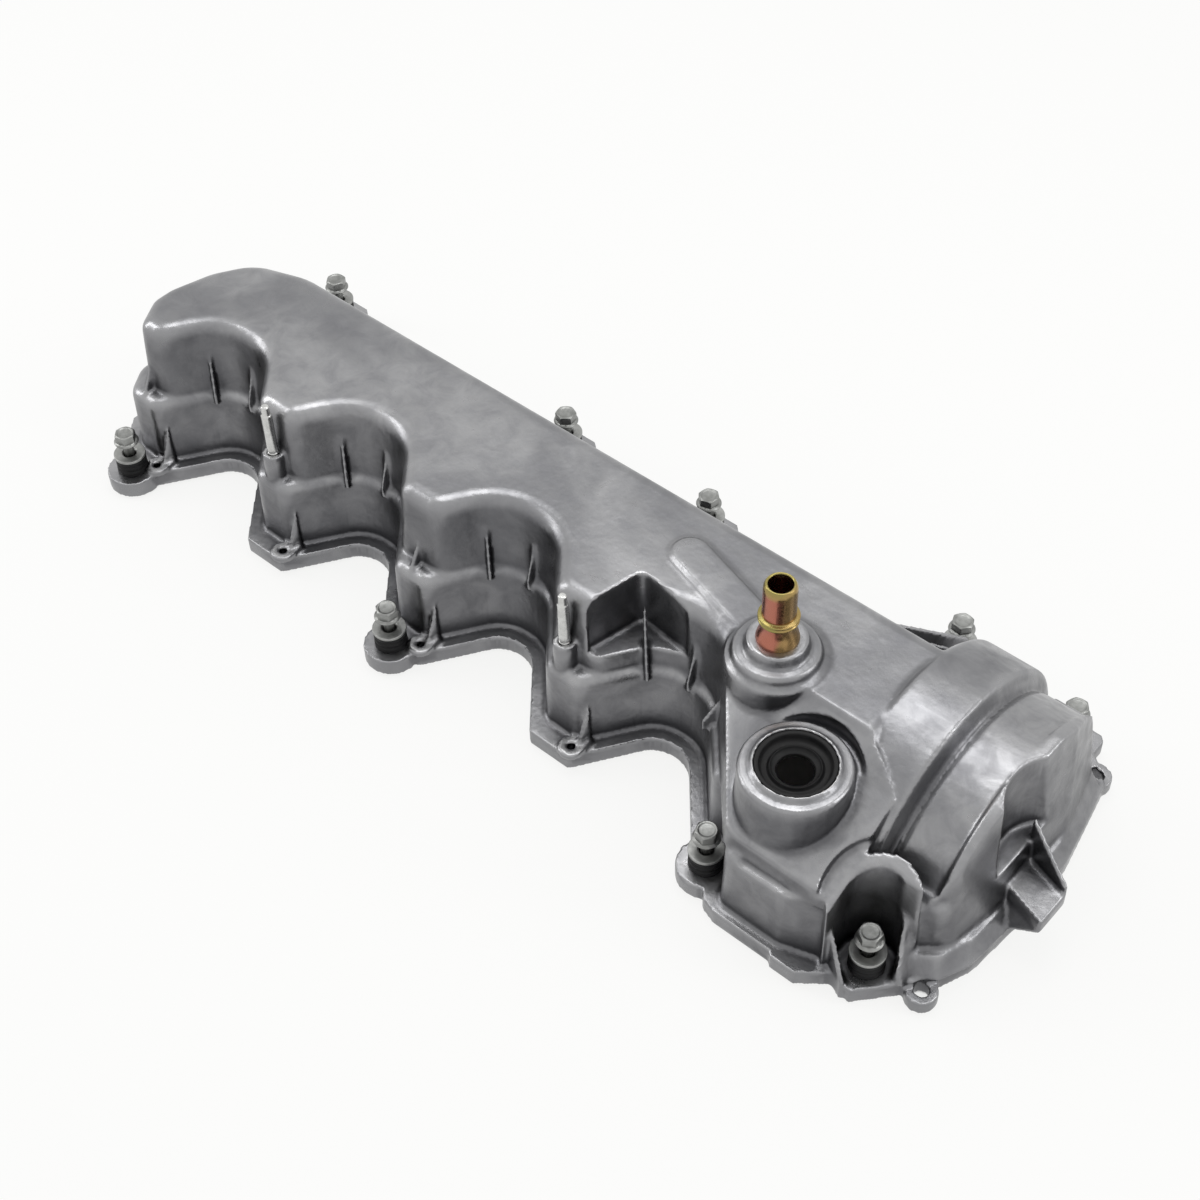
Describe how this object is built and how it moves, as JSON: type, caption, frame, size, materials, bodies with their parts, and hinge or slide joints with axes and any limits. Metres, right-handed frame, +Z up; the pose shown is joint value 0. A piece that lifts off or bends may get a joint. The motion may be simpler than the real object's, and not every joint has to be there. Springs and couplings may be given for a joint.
{
  "type": "engine valve cover",
  "caption": "Long cast valve cover with scalloped coil bays, a round timing-end bulge, captive grommeted bolts, a vent tube and a round port seal.",
  "frame": {"origin": "middle of the footprint, on the plane the gasket rests on", "axes": "+X along the cover to its round timing end, +Y away from the scalloped side, +Z up from the gasket to the vent tube"},
  "size_m": [0.5696, 0.209, 0.1385],
  "materials": {
    "cast_aluminium": "satin die-cast",
    "zinc_steel": "grey zinc plate",
    "bright_steel": "bright plated",
    "yellow_zinc": "iridescent yellow zinc",
    "black_rubber": "matte",
    "gasket_rubber": "matte"
  },
  "bodies": {
    "cover": {"cover_casting": "cast_aluminium", "gasket": "gasket_rubber", "vent_tube": "yellow_zinc", "port_seal": "black_rubber", "harness_stud_1": "bright_steel", "harness_stud_2": "bright_steel", "sleeve_1": "zinc_steel", "sleeve_2": "zinc_steel", "sleeve_3": "zinc_steel", "sleeve_4": "zinc_steel", "sleeve_5": "zinc_steel", "sleeve_6": "zinc_steel", "sleeve_7": "zinc_steel", "sleeve_8": "zinc_steel", "sleeve_9": "zinc_steel", "grommet_1": "black_rubber", "grommet_2": "black_rubber", "grommet_3": "black_rubber", "grommet_4": "black_rubber", "grommet_5": "black_rubber", "grommet_6": "black_rubber", "grommet_7": "black_rubber", "grommet_8": "black_rubber", "grommet_9": "black_rubber"},
    "captive_bolt_1": {"bolt_1": "zinc_steel"},
    "captive_bolt_2": {"bolt_2": "zinc_steel"},
    "captive_bolt_3": {"bolt_3": "zinc_steel"},
    "captive_bolt_4": {"bolt_4": "zinc_steel"},
    "captive_bolt_5": {"bolt_5": "zinc_steel"},
    "captive_bolt_6": {"bolt_6": "zinc_steel"},
    "captive_bolt_7": {"bolt_7": "zinc_steel"},
    "captive_bolt_8": {"bolt_8": "zinc_steel"},
    "captive_bolt_9": {"bolt_9": "zinc_steel"}
  },
  "joints": [
    {"name": "bolt_1_slide", "type": "slide", "parent": "cover", "child": "captive_bolt_1", "axis": [0, 0, 1], "range_m": [-0.0079, 0.002]},
    {"name": "bolt_2_slide", "type": "slide", "parent": "cover", "child": "captive_bolt_2", "axis": [0, 0, 1], "range_m": [-0.0079, 0.002]},
    {"name": "bolt_3_slide", "type": "slide", "parent": "cover", "child": "captive_bolt_3", "axis": [0, 0, 1], "range_m": [-0.0079, 0.002]},
    {"name": "bolt_4_slide", "type": "slide", "parent": "cover", "child": "captive_bolt_4", "axis": [0, 0, 1], "range_m": [-0.0079, 0.002]},
    {"name": "bolt_5_slide", "type": "slide", "parent": "cover", "child": "captive_bolt_5", "axis": [0, 0, 1], "range_m": [-0.0079, 0.002]},
    {"name": "bolt_6_slide", "type": "slide", "parent": "cover", "child": "captive_bolt_6", "axis": [0, 0, 1], "range_m": [-0.0079, 0.002]},
    {"name": "bolt_7_slide", "type": "slide", "parent": "cover", "child": "captive_bolt_7", "axis": [0, 0, 1], "range_m": [-0.0079, 0.002]},
    {"name": "bolt_8_slide", "type": "slide", "parent": "cover", "child": "captive_bolt_8", "axis": [0, 0, 1], "range_m": [-0.0079, 0.002]},
    {"name": "bolt_9_slide", "type": "slide", "parent": "cover", "child": "captive_bolt_9", "axis": [0, 0, 1], "range_m": [-0.0079, 0.002]}
  ]
}
